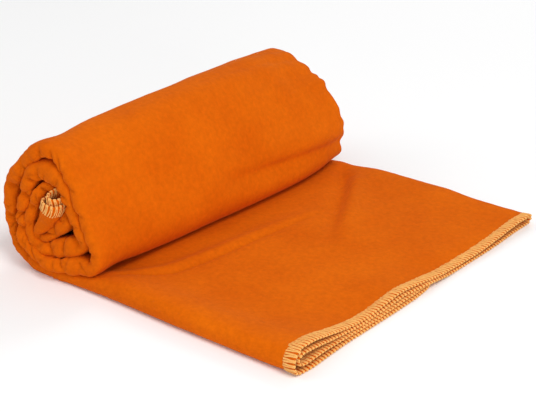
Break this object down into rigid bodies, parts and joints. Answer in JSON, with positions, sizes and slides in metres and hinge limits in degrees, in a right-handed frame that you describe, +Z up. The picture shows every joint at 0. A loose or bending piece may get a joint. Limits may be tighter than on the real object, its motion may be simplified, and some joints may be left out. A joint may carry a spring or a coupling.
{
  "type": "quick dry towel",
  "caption": "Thin suede-finish travel towel, folded lengthwise in four with its long edges inside, rolled from one end with a flat tail and an overlocked contrasting hem.",
  "frame": {"origin": "centre of the underside of the bounding box, on the surface that the rolled towel lies on", "axes": "+X from the roll along the flat tail to its open hemmed end, +Y along the roll away from the end where both folds nest, +Z up"},
  "size_m": [0.1812, 0.2002, 0.0685],
  "materials": {
    "towel_cloth": "matte suede-finish microfibre knit, orange",
    "hem_thread": "matte spun polyester overlock thread, apricot"
  },
  "bodies": {
    "roll": {"towel_cloth_roll": "towel_cloth", "core_end_hem": "hem_thread", "outer_side_hem_roll": "hem_thread", "inner_side_hem_roll": "hem_thread"},
    "tail": {"towel_cloth_tail": "towel_cloth", "tail_end_hem": "hem_thread", "outer_side_hem_tail": "hem_thread", "inner_side_hem_tail": "hem_thread"}
  },
  "joints": [
    {"name": "tail_lift", "type": "hinge", "parent": "roll", "child": "tail", "pos_m": [-0.01525, 0, 0.00475], "axis": [0, -1, 0], "range_deg": [0, 90]}
  ]
}
